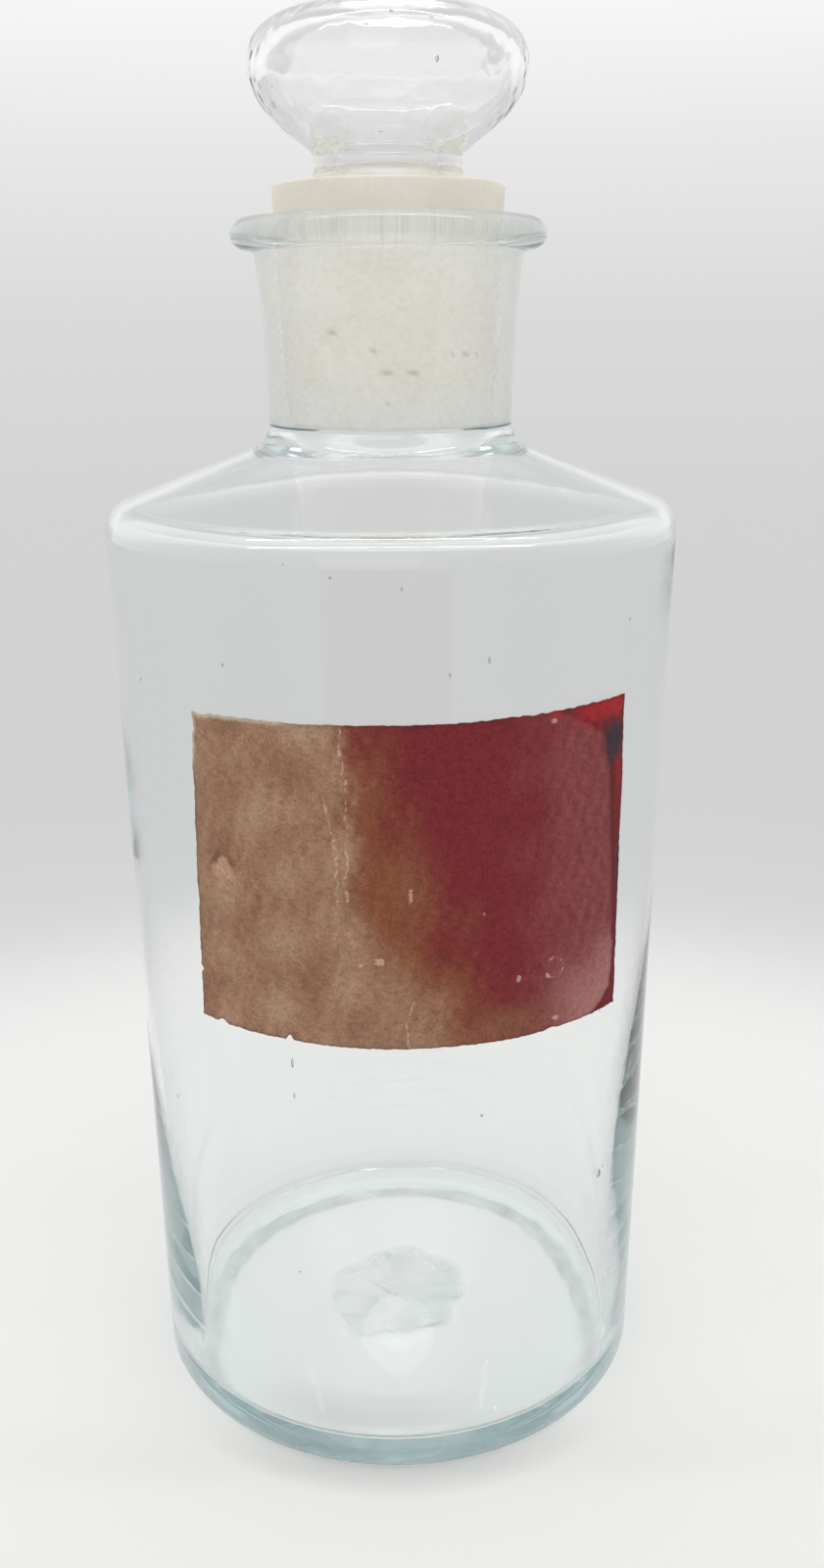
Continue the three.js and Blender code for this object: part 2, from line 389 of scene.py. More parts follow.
def add_node(tree, kind, sockets=None, stops=None, **settings):
    """Adds a node with its settings; its kind is named without the leading ShaderNode.

    A socket gets a value, or a link when it is given another socket or a node, which stands for
    the first of its outputs that is in use.
    """
    node = tree.nodes.new("ShaderNode" + kind)
    for key, value in settings.items():
        setattr(node, key, value)
    for key, value in (sockets or {}).items():
        if isinstance(value, bpy.types.Node):
            value = next(socket for socket in value.outputs if socket.enabled)
        if isinstance(value, bpy.types.NodeSocket):
            tree.links.new(value, node.inputs[key])
        else:
            node.inputs[key].default_value = value
    if stops:
        ramp = node.color_ramp
        while len(ramp.elements) < len(stops):
            ramp.elements.new(1.0)
        for element, (place, value) in zip(ramp.elements, stops):
            element.position = place
            element.color = value
    return node


def pattern(millimetres):
    """Scale of a noise whose cells are so many millimetres long, on Object coordinates."""
    return 1 / (millimetres * MM)


def new_material(name):
    """An empty node material, and add_node for its tree."""
    material = bpy.data.materials.new(name)
    material.use_nodes = True
    material.node_tree.nodes.clear()
    return material, partial(add_node, material.node_tree)


def worked_glass(name, tint, density, milk, stain, waves):
    """Soda-lime glass as its maker and its users left it; vertex attributes say where.

    Fire-polished it is clear, with a faint blue-green tint that only shows through a long path,
    drawn ripples and a haze of fine scratches. Where ground is 1 it was cut with emery to a cone:
    a matt face that scatters light and looks milky, mottled and speckled by the grit, which is
    finer than 0.2 mm and is drawn at 0.9 mm so that it shows. Worn is the roughness left by the
    broken iron's scar and by years of standing; on ground faces it is the chatter of the grinding
    iron. Stain is old residue.
    """
    material, node = new_material(name)
    place = node("TexCoord").outputs["Object"]
    ground, worn, stained = [
        node("Attribute", attribute_name=mark).outputs["Fac"] for mark in GLASS_MARKS
    ]
    # Size in mm, detail and roughness of the blown swirls, the emery's grit and the smears of use
    swirl, grit, smear = [
        node("TexNoise", {"Vector": place, "Scale": pattern(cell), "Detail": detail, "Roughness": rough})
        for cell, detail, rough in ((18, 3, 0.45), (0.9, 3, 0.65), (7, 6, 0.7))
    ]
    flow = node("Bump", {"Height": swirl, "Strength": waves, "Distance": 1 * MM})
    bite = node("Math", {0: ground, 1: worn}, operation="MAXIMUM")
    depth = node("Math", {0: bite, 1: 0.15}, operation="MULTIPLY")
    bump = node("Bump", {"Height": grit, "Strength": depth, "Distance": 0.2 * MM, "Normal": flow})
    haze = node("MapRange", {"Value": smear, "From Min": 0.55, "From Max": 0.8, "To Max": 0.06})
    scratch = node(
        "MapRange", {"Value": smear, "From Min": 0.35, "From Max": 0.65, "To Min": 0.5, "To Max": 1.5}
    )
    rubbed = node("Math", {0: worn, 1: scratch}, operation="MULTIPLY")
    matt = node("Math", {0: ground, 1: 0.5}, operation="MULTIPLY")
    used = node("Math", {0: rubbed, 1: haze}, operation="MAXIMUM")
    rough = node("Math", {0: used, 1: matt}, operation="MAXIMUM")
    clear = node("Math", {0: ground, 1: -0.5, 2: 1.0}, operation="MULTIPLY_ADD", use_clamp=True)
    mottle = node("Mix", {0: 0.55, 2: smear, 3: grit}, data_type="FLOAT")
    shaded = [part * share for part, share in zip(milk, (0.92, 0.89, 0.85))]
    milky = node("ValToRGB", {"Fac": mottle}, stops=[(0.38, (*shaded, 1)), (0.56, (*milk, 1))])
    # The chatter runs up and down, twenty times longer than it is wide
    upright = node("VectorMath", {0: place, 1: (1, 1, 0.05)}, operation="MULTIPLY")
    chatter = node("TexNoise", {"Vector": upright, "Scale": pattern(0.5), "Detail": 2.0})
    line = node("MapRange", {"Value": chatter, "From Min": 0.5, "From Max": 0.66})
    lines = node("Math", {0: line, 1: worn}, operation="MULTIPLY")
    cut = node("Mix", {FACTOR: lines, FIRST: milky, SECOND: linear(CHATTER_GREY)}, data_type="RGBA")
    dulled = node("Mix", {FACTOR: rubbed, FIRST: grey(255), SECOND: linear(WORN_GREY)}, data_type="RGBA")
    plain = node("Mix", {FACTOR: ground, FIRST: dulled, SECOND: cut}, data_type="RGBA")
    tone = node("Mix", {FACTOR: stained, FIRST: plain, SECOND: (*stain, 1)}, data_type="RGBA")
    glass = node(
        "BsdfPrincipled",
        {
            "Base Color": tone,
            "Roughness": rough,
            "IOR": GLASS_IOR,
            "Transmission Weight": clear,
            "Normal": bump,
        },
    )
    # Lamps shine through the glass, so shadow rays see a transparent surface instead
    shadow = node("LightPath").outputs["Is Shadow Ray"]
    surface = node("MixShader", {0: shadow, 1: glass, 2: node("BsdfTransparent")})
    absorb = node("VolumeAbsorption", {"Color": (*tint, 1), "Density": density})
    node("OutputMaterial", {"Surface": surface, "Volume": absorb})
    return material


def aged_paper(name, colours):
    """Coloured wood-pulp paper, sized and pasted on, then aged: faded, rubbed, cracked and stained.

    The mesh carries its broad tone and the distances to cracks and flakes; the fibres, the grain
    and the torn borders come from noise at their real size.
    """
    material, node = new_material(name)
    place = node("TexCoord").outputs["Object"]
    tone = node("Attribute", attribute_name="tone").outputs["Color"]
    crack, flake = [
        node("Attribute", attribute_name=mark).outputs["Fac"] for mark in PAPER_MARKS
    ]
    # Size in mm, detail and roughness of the fibres and of the blotches
    grain, mottle = [
        node("TexNoise", {"Vector": place, "Scale": pattern(cell), "Detail": detail, "Roughness": rough})
        for cell, detail, rough in ((0.4, 3, 0.65), (1.1, 5, 0.75))
    ]
    both = node("Math", {0: grain, 1: mottle}, operation="ADD")
    level = node(
        "MapRange", {"Value": both, "From Min": 0.7, "From Max": 1.3, "To Min": 0.66, "To Max": 1.35}
    )
    speck = node("CombineColor", {0: level, 1: level, 2: level})
    grained = node(
        "Mix", {FACTOR: 1.0, FIRST: tone, SECOND: speck}, data_type="RGBA", blend_type="MULTIPLY"
    )
    torn = node(
        "MapRange", {"Value": mottle, "From Min": 0.3, "From Max": 0.7, "To Min": -0.22, "To Max": 0.2}
    )
    bared = []
    for away, edge, middle in ((crack, 0.2, 0.06), (flake, 0.12, -0.02)):
        ragged_away = node("Math", {0: away, 1: torn}, operation="ADD")
        bared.append(node("MapRange", {"Value": ragged_away, "From Min": edge, "From Max": middle}))
    bare = node("Math", {0: bared[0], 1: bared[1]}, operation="MAXIMUM")
    part = node("Math", {0: bare, 1: 0.5}, operation="MULTIPLY")
    shown = node("Mix", {FACTOR: part, FIRST: grained, SECOND: (*colours.pale, 1)}, data_type="RGBA")
    dip = node("Math", {0: both, 1: bare}, operation="SUBTRACT")
    bump = node("Bump", {"Height": dip, "Strength": 0.35, "Distance": 0.12 * MM})
    paper = node(
        "BsdfPrincipled",
        {"Base Color": shown, "Roughness": 0.8, "Specular IOR Level": 0.25, "Normal": bump},
    )
    node("OutputMaterial", {"Surface": paper})
    return material


# Pieces

TURN_STEPS = 240  # columns of points round the axis
SCAR_FORWARD, RING_FORWARD = 3 * MM, 7 * MM  # how far in front of the axis scar and wear centre
BOTTLE_TINT, STOPPER_TINT = 12.5, 1.5  # densities of the glass's tint
BOTTLE_WAVES, STOPPER_WAVES = 0.04, 0.12  # strengths of the drawn ripples in the shading
WHOLE = 5.0  # mm to the nearest crack or flake where there is none
# Seeds in the wall: degrees, mm from the axis, height, half sizes across and up
BODY_SEEDS = (
    (-100.6, 49.0, 163.0, 0.2, 0.24),
    (-88.4, 49.0, 161.4, 0.15, 0.3),
    (-80.0, 48.8, 148.2, 0.15, 0.35),
    (-147.3, 48.7, 142.7, 0.2, 0.3),
    (-122.1, 48.8, 148.5, 0.2, 0.25),
    (-39.7, 48.8, 153.1, 0.15, 0.3),
    (-111, 47.8, 81.6, 0.2, 0.9),
    (-110.9, 47.6, 75.4, 0.15, 0.5),
    (-145.1, 47.4, 65.6, 0.2, 0.3),
    (-72.8, 47.5, 71.8, 0.2, 0.3),
    (-40.0, 47.0, 50.5, 0.5, 0.9),
    (-38.6, 47.0, 51.6, 0.2, 0.4),
    (64, 48.4, 130, 0.3, 0.8),
    (118, 48.9, 156, 0.2, 0.5),
    (20, 47.3, 60, 0.25, 0.6),
    (176.3, 21.3, 5, 0.35, 0.3),
)
# Rust marks in the ground bore: degrees, share of the cone's height, half sizes across and up
RUST = (
    (-91, 0.28, 0.9, 0.3),
    (-93.5, 0.272, 0.5, 0.25),
    (-79, 0.275, 1.0, 0.35),
    (-76.5, 0.265, 0.5, 0.3),
    (-113, 0.392, 0.35, 0.25),
    (-105, 0.39, 0.3, 0.2),
    (-98, 0.385, 0.5, 0.25),
    (-118, 0.471, 0.8, 0.3),
    (-63, 0.355, 0.9, 0.2),
    (-59, 0.36, 0.3, 0.3),
    (-51, 0.36, 0.7, 0.3),
    (-44, 0.366, 0.5, 0.25),
    (-91, 0.127, 0.3, 0.3),
)
# Seeds in the knob's wall, as in BODY_SEEDS
KNOB_SEEDS = (
    (-70, 21.4, 236.2, 0.25, 0.5),
    (-88, 20.5, 242.1, 0.3, 0.3),
    (-94.3, 13.8, 227.1, 0.4, 0.2),
    (-98, 21.3, 240.4, 0.4, 0.12),
    (-72, 20.9, 241.4, 0.35, 0.1),
    (-148, 20.6, 234, 0.2, 0.13),
)


def bottle_profile(work):
    """The bottle's closed profile from the centre of the underside to the centre of the floor.

    Returns the points, how many belong to the underside, and the rows of the ground cone. The
    underside and the floor are parabolas, and the neck's radius grows by its taper times t and
    its flare times t^3.
    """
    b = bpy.context.scene.bottle_sizes
    ring_outer = b.base_radius - b.heel
    ring_inner = ring_outer - b.ring
    scar_edge = 1.15 * b.scar
    dome_r = np.append(np.linspace(0, scar_edge, 36), np.linspace(scar_edge, ring_inner, 18)[1:])
    dome = np.column_stack([dome_r, b.push_up * (1 - (dome_r / ring_inner) ** 2)])
    underside = joined(dome, 4, arc((ring_outer, b.heel), b.heel, -90, 0, 10))
    corner = arc((b.shoulder_radius - b.corner, b.wall_top), b.corner, 0, work.uphill, 20)
    slope_turn = 180 + work.uphill
    fillet = arc((work.neck + b.fillet, work.neck_foot), b.fillet, slope_turn, 180, 14)
    t = np.linspace(0, 1, 20)[1:]
    neck_r = work.neck + b.neck_taper * t + b.neck_flare * t**3
    neck = np.column_stack([neck_r, work.neck_foot + (b.neck_length - b.lip_fillet) * t])
    root = neck[-1, 0] + b.lip_fillet
    lip_foot = arc((root, neck[-1, 1]), b.lip_fillet, 180, 90, 6)[1:-1]
    unit = arc((0, 0), 1, -90, 90, 22)
    lip_r = root + (b.lip_reach - b.lip_fillet) * unit[:, 0]
    lip = np.column_stack([lip_r, work.lip_bottom + b.lip_height / 2 * (1 + unit[:, 1])])
    bevel = arc((b.mouth + b.mouth_bevel, work.cone_top), b.mouth_bevel, 90, 180, 7)
    outside = joined(underside, 28, corner, 16, fillet, neck, lip_foot, lip, 3, bevel)
    cone_foot = (work.cone(work.cone_end), work.cone_end)
    ground = np.vstack([run(bevel[-1], cone_foot, 46), cone_foot])
    throat = arc((work.throat + b.fillet, work.throat_foot), b.fillet, 180, slope_turn, 14)
    inner_r = b.shoulder_radius - b.wall - b.inner_corner
    inner_z = work.shoulder(inner_r) - work.drop - b.inner_corner / math.cos(b.slope)
    inner_corner = arc((inner_r, inner_z), b.inner_corner, work.uphill, 0, 12)
    heel_z = b.floor + b.inner_heel
    floor_edge = work.inner_wall(heel_z) - b.inner_heel
    wall_z = np.linspace(inner_z, heel_z, 60)[1:-1]
    wall = np.column_stack([work.inner_wall(wall_z), wall_z])
    inner_heel = arc((floor_edge, heel_z), b.inner_heel, 0, -90, 26)
    floor_r = np.linspace(floor_edge, 0, 24)[1:]
    floor = np.column_stack([floor_r, b.floor + b.floor_dome * (1 - (floor_r / floor_edge) ** 2)])
    inside = joined(throat, 14, inner_corner, wall, inner_heel, floor)
    ground_start = len(outside)
    return joined(outside, ground, inside), len(underside), ground_start, ground_start + len(ground)


def make_bottle():
    """The bottle's surfaces: a turned profile with the unevenness of blown glass.

    Ripples are added to the inner wall's radius. Inside the scar's ragged outline the underside
    comes down by the scar's relief times its hollows and ridges.
    """
    b, _, _, colours = sizes()
    work = Glasswork()
    profile, under_rows, ground_start, ground_stop = bottle_profile(work)
    radius, height, angle = around(profile)
    rows = np.arange(len(profile))[:, None]
    under = rows < under_rows
    ground = (rows >= ground_start) & (rows < ground_stop)
    inside = rows >= ground_stop
    # The ripples die out towards the floor and towards the shoulder
    wall_part = smooth(4 * MM, 16 * MM, height) * (1 - smooth(150 * MM, 163 * MM, height))
    blown = ripple(angle, height, 60 * MM, 3, 11) * b.ripple
    radius = radius + np.where(inside, wall_part * blown, 0)
    off, turn = beside_axis(radius, angle, SCAR_FORWARD)
    scar = smooth(-0.8 * MM, 1.8 * MM, b.scar * outline(turn) - off) * under
    height = height - scar * b.scar_relief * (0.6 + 0.3 * broken(off, turn))
    # Years of standing wore the inner half of the resting ring
    past_dome = beside_axis(radius, angle, RING_FORWARD)[0] - (b.base_radius - b.heel - b.ring)
    ring = smooth(-1 * MM, 0, past_dome) * smooth(b.ring / 2 + 0.5 * MM, b.ring / 2, past_dome)
    ring = ring * (height < 0.6 * b.heel) * under
    # The grinding iron chattered in the uppermost few millimetres of the cone
    chatter = ground * smooth(work.cone_top - 6 * MM, work.cone_top - 3 * MM, height)
    # A dried pool left its residue at the front of the floor's edge
    floor = inside & (height < b.floor + b.floor_dome)
    residue = floor * smooth(31 * MM, 37 * MM, radius) * smooth(0.7, 0.2, np.abs(angle - 1.45 * math.pi))
    residue = residue * np.clip(0.3 + 0.5 * ripple(angle, radius, 5 * MM, 14, 23), 0, 1)
    # Use stained the middle of the cone
    share = (height - work.cone_end) / (work.cone_top - work.cone_end)
    used = smooth(0.1, 0.35, share) * smooth(0.8, 0.5, share)
    used = used * np.clip(0.6 + 0.5 * ripple(angle, height, 9 * MM, 8, 29), 0, 1)
    marks = {
        "ground": ground,
        "worn": 0.5 * ring + 0.32 * scar * (1 + 0.3 * broken(off, turn)) + 0.15 * chatter,
        "stain": (0.5 * rust_marks(angle, height) + 0.05 * used) * ground + 0.3 * residue,
    }
    glass = worked_glass(
        "blown_soda_lime_glass", colours.glass, BOTTLE_TINT, colours.ground, colours.iron, BOTTLE_WAVES
    )
    piece = glass_piece("bottle_glass", radius, height, marks, BODY_SEEDS, glass)
    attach(piece, "bottle")
    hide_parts("bottle")
    return piece


def beside_axis(radius, angle, forward):
    """Distance and angle of each point seen from a centre that lies forward of the axis."""
    x, y = radius * np.cos(angle), radius * np.sin(angle) + forward
    return np.hypot(x, y), np.arctan2(y, x)


def rust_marks(angle, height):
    """Share of rust at each point: 1.3 less the distance to a mark, held at 0 and 1.

    The distance is counted in the mark's half sizes, so its border is soft.
    """
    work = Glasswork()
    b = bpy.context.scene.bottle_sizes
    share = np.zeros(np.broadcast(angle, height).shape)
    for degrees, place, wide, high in RUST:
        turn = (angle - math.radians(degrees) + math.pi) % (2 * math.pi) - math.pi
        level = work.cone_end + place * (work.cone_top - work.cone_end)
        reach = np.hypot(turn * b.mouth / MM / wide, (height - level) / MM / high)
        share = np.maximum(share, np.clip(1.3 - reach, 0, 1))
    return share


def broken(radius, angle):
    """Broken glass where the iron let go: soft hollows and a few ridges, from warped sines."""
    x, y = radius * np.cos(angle) / MM, radius * np.sin(angle) / MM
    bend = 1.5 * np.sin(0.31 * x + 0.9) + 1.2 * np.sin(0.43 * y + 0.2)
    hollow = np.sin(0.3 * x + 0.19 * y + bend) + 0.7 * np.sin(0.47 * y - 0.25 * x - 0.6 * bend + 1)
    ridge = np.sqrt(0.05 + np.sin(0.22 * x + 0.34 * y + 0.8 * bend) ** 2)
    return 0.5 * hollow - 0.8 * ridge + 0.12 * np.sin(1.5 * x + 2 * bend) * np.sin(1.2 * y - bend)


def outline(angle):
    """Radius of the scar's broken edge as a share: 1 plus a few sines round the axis."""
    return 1 + 0.06 * np.sin(2 * angle + 0.6) + 0.05 * np.sin(5 * angle) + 0.03 * np.sin(9 * angle + 2)


def stopper_profile(work):
    """The stopper's profile and its rows of ground glass.

    It runs from the hollow's roof down inside the knob and the plug, round the plug's open end
    and up the outside to the knob's top. The knob is two Bezier curves inside and two outside.
    """
    s = bpy.context.scene.stopper_sizes
    plug_top = work.cone_top + s.stand_off
    plug_end = work.cone_end + s.short
    top_r = work.cone(plug_top) - s.clearance - s.chamfer
    end_r = work.cone(plug_end) - s.clearance - s.chamfer
    foot = (s.stem + s.stem_flare, plug_top + s.crown)
    waist = (s.stem, plug_top + s.stem_height)
    widest = (s.knob, waist[1] + s.knob_rise)
    top = (0, widest[1] + s.knob_cap)
    roof = (0, top[1] - s.knob_crown)
    side = (s.knob - s.knob_wall, widest[1])
    throat = (s.hollow, waist[1])
    # Shares of the width and of the rise that the knob's curves follow their end tangents for
    cap, belly = 0.83, 0.56
    hollow = joined(
        [roof],
        curve(roof, (cap * side[0], roof[1]), (side[0], side[1] + 0.4 * s.knob_cap), side, 50),
        curve(
            side,
            (side[0], side[1] - belly * s.knob_rise),
            (throat[0], throat[1] + 0.2 * s.knob_rise),
            throat,
            44,
        ),
        20,
        arc((s.hollow + s.chamfer, plug_end + s.chamfer), s.chamfer, 180, 270, 6),
    )
    plug = joined(
        arc((end_r, plug_end + s.chamfer), s.chamfer, -90, 0, 6),
        30,
        arc((top_r, plug_top - s.chamfer), s.chamfer, 0, 90, 7),
    )
    knob = joined(
        [foot],
        curve(foot, (waist[0], foot[1]), (waist[0], waist[1] - s.stem_height / 4), waist, 14),
        curve(
            waist,
            (waist[0], waist[1] + 0.15 * s.knob_rise),
            (widest[0], widest[1] - belly * s.knob_rise),
            widest,
            48,
        ),
        curve(widest, (widest[0], widest[1] + 0.57 * s.knob_cap), (cap * widest[0], top[1]), top, 52),
    )
    end_steps, clear = 8, 2  # the first points of the plug's lower chamfer stay clear
    plug_start = len(hollow) + end_steps
    return joined(hollow, end_steps, plug, 5, knob), plug_start + clear, plug_start + len(plug)


def make_stopper():
    """The stopper's surfaces: a turned profile whose knob is a little uneven, as if hand-finished.

    Three ripples are added to the radius: a broad and a fine one over the whole knob, and the
    finest one in its hollow only. All of them fade out towards the stem and the axis.
    """
    _, s, _, colours = sizes()
    work = Glasswork()
    profile, ground_start, ground_stop = stopper_profile(work)
    radius, height, angle = around(profile)
    rows = np.arange(len(profile))[:, None]
    ground = (rows >= ground_start) & (rows < ground_stop)
    stem_top = work.cone_top + s.stand_off + s.stem_height
    knob = smooth(stem_top, stem_top + 8 * MM, height) * np.minimum(1, radius / (8 * MM))
    radius = radius + knob * s.unevenness * 0.5 * ripple(angle, height, 30 * MM, 3, 5)
    radius = radius + knob * s.unevenness * 0.16 * ripple(angle, height, 3.5 * MM, 14, 9)
    hollow = (rows < ground_start) * knob
    radius = radius + hollow * s.wrinkle * ripple(angle, height, 2 * MM, 50, 17, 28, 0.02)
    rim = ground * smooth(work.cone_top - 1 * MM, work.cone_top + 0.5 * MM, height)
    marks = {
        "ground": ground,
        "worn": 0.15 * rim,
        "stain": np.clip(rim * (0.8 + 0.12 * ripple(angle, height, 6 * MM, 14, 31)), 0, 1),
    }
    glass = worked_glass(
        "blown_clear_glass", colours.glass, STOPPER_TINT, colours.ground, colours.stained, STOPPER_WAVES
    )
    piece = glass_piece("stopper_glass", radius, height, marks, KNOB_SEEDS, glass)
    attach(piece, "stopper")
    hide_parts("stopper")
    return piece


def cloud(u, v, length, seed, waves=9):
    """Soft noise of about 1: a sum of sines with random headings and lengths near one size."""
    draw = np.random.default_rng(seed)
    total = 0
    for _ in range(waves):
        way, phase = draw.random(2) * 2 * math.pi
        scale = 2 * math.pi / (length * (0.6 + 1.1 * draw.random()))
        total = total + np.sin(scale * (u * math.cos(way) + v * math.sin(way)) + phase)
    return total / math.sqrt(waves)


def from_line(u, v, line):
    """Distance to a bent line: the least of the distances to its straight pieces."""
    best = np.full(np.shape(u), 1e3)
    for (ax, ay), (bx, by) in zip(line, line[1:]):
        dx, dy = bx - ax, by - ay
        along = np.clip(((u - ax) * dx + (v - ay) * dy) / (dx * dx + dy * dy), 0, 1)
        best = np.minimum(best, np.hypot(u - ax - along * dx, v - ay - along * dy))
    return best


def blend(base, paint, share):
    """Linear mix of two colours by a share given per point."""
    return base * (1 - share[..., None]) + np.asarray(paint) * share[..., None]


# Cracks as lines in mm from the label's lower left corner, each with its faintness in mm
CRACKS = (
    (0.0, ((26.6, 55), (26.6, 51.1), (27.1, 48), (27.7, 45.4), (27.5, 41), (27.8, 36.8), (27.6, 26.1))),
    (0.0, ((23.8, 43.2), (24.6, 40), (25.6, 36.8), (26.1, 32.5), (26.0, 28), (26.4, 24.6))),
    (0.12, ((23.8, 55), (24.0, 51.1))),
    (0.16, ((28.4, 23.9), (28.2, 15), (28.5, 8), (28.3, 0))),
    (0.0, ((37.3, 0), (37.0, 4.6), (37.6, 6.5), (38.1, 8.4))),
    (0.14, ((12.1, 0), (12.0, 3.2))),
    (0.16, ((33.5, 37), (33.4, 33))),
)
# Flakes lost from the surface: centre, half width, half height, all in mm
FLAKES = (
    (32.7, 15.7, 0.7, 0.6),
    (61.6, 53.4, 0.5, 0.3),
    (37.7, 26.8, 0.25, 1.0),
    (55.6, 10.7, 0.4, 0.5),
    (63.1, 1.8, 0.6, 0.35),
    (29.8, 15.0, 0.3, 0.3),
    (49.5, 23.2, 0.2, 0.2),
)
# Borders between the label's colours: heights in mm, and how far to the right each lies there
BARE_END = ((0, 8, 14, 22, 30, 55), (45, 41, 34, 30.5, 28.6, 27.7))
RED_START = ((0, 6, 12, 20, 28, 38, 55), (51, 50, 46, 41.5, 40, 35, 29))
MARGIN = (
    (-1, 0.7, 2, 4, 7.5, 21.8, 43.2, 47, 49.6, 51.8, 54.3, 56),
    (68, 72.7, 74.5, 76.2, 76.9, 76.3, 74.5, 73.9, 72.7, 69.1, 64.1, 58),
)
BARE_SOFTNESS = ((0, 12, 24, 40, 55), (8, 7, 4.5, 2.2, 1.6))  # half width of the first border
# Dark stains at the right edge and a bare patch: centre, half sizes and raggedness in mm
STAINS = ((75.4, 47.6, 3.4, 4.4, 0.16), (78.2, 26, 1.3, 6, 0.12), (5.9, 28.4, 2.2, 2.6, 0.14))
RUBBED_RING = (62.7, 11.1, 1.8, 0.06)  # centre, radius and half width in mm


def coat(tone, coats):
    """The tone with coats laid over it in order, each a colour and its share per point."""
    for paint, share in coats:
        tone = blend(tone, paint, share)
    return tone


def paper_tone(u, v, c):
    """Colour of the aged paper at u, v in mm.

    The bare paper on the left gives way to red at a border that moves right towards the
    bottom; a smooth step of the distance from each border sets the share of each colour.
    """
    fine = cloud(u, v, 2.2, 3)
    drift = cloud(u, v, 11, 8)
    bare_end, red_start, margin, soft = [
        np.interp(v, *border) for border in (BARE_END, RED_START, MARGIN, BARE_SOFTNESS)
    ]
    beyond = u - margin + 0.15 * fine
    broad = (
        (c.brown, np.clip(0.45 + 0.26 * drift + 0.12 * fine, 0, 1)),
        (c.brown, 0.25 * (smooth(14, 0, u) * smooth(20, 50, v))),
        (c.rust, 0.9 * smooth(bare_end - soft, bare_end + soft, u + 0.5 * fine + 0.8 * drift)),
        (c.red, smooth(red_start - 8, red_start + 8, u + 1.0 * fine + 2.2 * drift)),
        (c.mauve, np.clip(smooth(52, 68, u + 2 * drift) * (0.75 + 0.2 * fine), 0, 1)),
        (c.brown, 0.45 * (smooth(9, 0, v + 2 * drift) * smooth(34, 48, u) * (1 - smooth(56, 70, u)))),
        (c.pink, 0.85 * (smooth(17, 4, v + 1.5 * drift) * smooth(58, 71, u))),
        (c.wine, smooth(-0.25, 0.35, beyond)),
    )
    tone = coat(np.asarray(c.tan), broad)
    # A dark line where the pasted edge starts
    rim = np.exp(-((beyond / 0.5) ** 2))
    tone = tone * (1 - 0.38 * rim * (0.55 + 0.45 * smooth(4, 50, v)))[..., None]
    wet = smooth(50.5, 53.5, v + 0.8 * fine) * smooth(64, 69, u) * (1 - smooth(77, 78.5, u))
    spot = np.exp(-(((u - 62) / 1.6) ** 2) - ((v - 54.6) / 0.6) ** 2)
    red_edge = smooth(30, 46, v) * smooth(0.8, 2.0, beyond) * (1 - smooth(44, 49, v))
    stain, low_stain, patch = [
        np.hypot((u - x) / wide, (v - y) / high) + rough * fine for x, y, wide, high, rough in STAINS
    ]
    bare = 1 - smooth(0.75, 1.05, patch)
    local = (
        (c.scarlet, 0.85 * wet),
        (c.scarlet, 0.9 * spot),
        (c.scarlet, 0.4 * red_edge),
        (c.ink, 0.9 * (1 - smooth(0.35, 1.15, stain)) * smooth(-2.5, 0.4, beyond)),
        (c.ink, 0.7 * (1 - smooth(0.3, 1.1, low_stain))),
        (c.tan, bare),
    )
    # The bare patch is a little paler than the rest, with shade painted along its upper border
    painted_shade = np.exp(-(((patch - 1.1) / 0.12) ** 2)) * smooth(27.5, 30, v)
    return coat(tone, local) * (1 + 0.16 * bare)[..., None] * (1 - 0.4 * painted_shade)[..., None]


def paper_damage(u, v):
    """Distances in mm from u, v to the nearest crack, and to the nearest flake's border."""
    wander = 0.22 * cloud(u, v, 1.7, 21)
    cracks = [from_line(u + wander, v, line) + faint for faint, line in CRACKS]
    crumble = 0.35 * cloud(u, v, 0.9, 33)
    flakes = [
        (np.hypot((u - x) / wide, (v - y) / high) - 1 + crumble) * min(wide, high)
        for x, y, wide, high in FLAKES
    ]
    x, y, radius, half = RUBBED_RING
    flakes.append(np.abs(np.hypot(u - x, v - y) - radius) - half + 0.12 * cloud(u, v, 2.2, 3))
    return [np.minimum(WHOLE, np.minimum.reduce(found)) for found in (cracks, flakes)]


LABEL_COLUMNS, LABEL_ROWS = 236, 166
FRINGE = "#b9ad99"  # bare fibre along the upper left corner
# Nicks in the label's edges: place along the edge, half width and depth in mm
NICKS = {
    "lower": ((4.5, 0.7, 0.5), (17.7, 0.5, 0.9), (62, 1, 0.2)),
    "upper": ((2, 1.5, 0.3),),
    "left": ((8.9, 0.5, 0.5), (52.5, 1.2, 0.25)),
    "right": ((1, 0.8, 0.25),),
}


def ragged(along, seed, edge):
    """Outline error in metres of a cut edge: fine unevenness, and nicks as narrow bells."""
    error = 0.06 * cloud(along, 0 * along, 1.6, seed) + 0.08 * cloud(along, 0 * along, 9, seed + 1)
    for place, width, depth in NICKS[edge]:
        error = error + depth * np.exp(-(((along - place) / width) ** 4))
    return error * MM


def sheet_faces(across, up):
    """Faces of a sheet: its front as a grid, its back as the same grid reversed, and the rim."""
    i = np.arange(up - 1)[:, None] * across + np.arange(across - 1)
    front = np.stack([i, i + 1, i + 1 + across, i + across], -1).reshape(-1, 4)
    back = front[:, ::-1] + across * up
    bottom = np.arange(across)
    right_side = np.arange(1, up) * across + across - 1
    top = (up - 1) * across + np.arange(across - 2, -1, -1)
    left_side = np.arange(up - 2, 0, -1) * across
    loop = np.concatenate([bottom, right_side, top, left_side])
    after = np.roll(loop, -1)
    rim = np.stack([loop, loop + across * up, after + across * up, after], -1)
    return np.vstack([front, back, rim])


